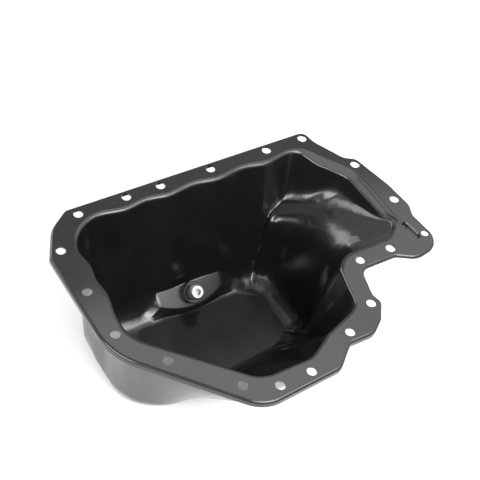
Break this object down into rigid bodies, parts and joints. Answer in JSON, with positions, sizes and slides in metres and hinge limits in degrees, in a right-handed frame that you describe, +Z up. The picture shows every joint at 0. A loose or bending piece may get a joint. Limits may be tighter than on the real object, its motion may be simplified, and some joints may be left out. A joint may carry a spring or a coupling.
{
  "type": "engine oil pan",
  "caption": "Pressed steel engine oil pan: bolted rim, deep sump, shallow ramp on one side, drain plug in a sloping facet.",
  "frame": {"origin": "on the sealing face, midway between the two middle bolt holes of the straight rail", "axes": "+X along the straight rail towards the ramp side, +Y out over the rail, +Z up out of the mouth"},
  "size_m": [0.3023, 0.2313, 0.13],
  "materials": {
    "black_paint": "gloss",
    "black_nut": "gloss",
    "zinc_plug": "satin",
    "washer_metal": "satin"
  },
  "bodies": {
    "root": {"pan_pressing": "black_paint", "weld_nut": "black_nut", "drain_plug": "zinc_plug", "sealing_washer": "washer_metal"}
  },
  "joints": []
}
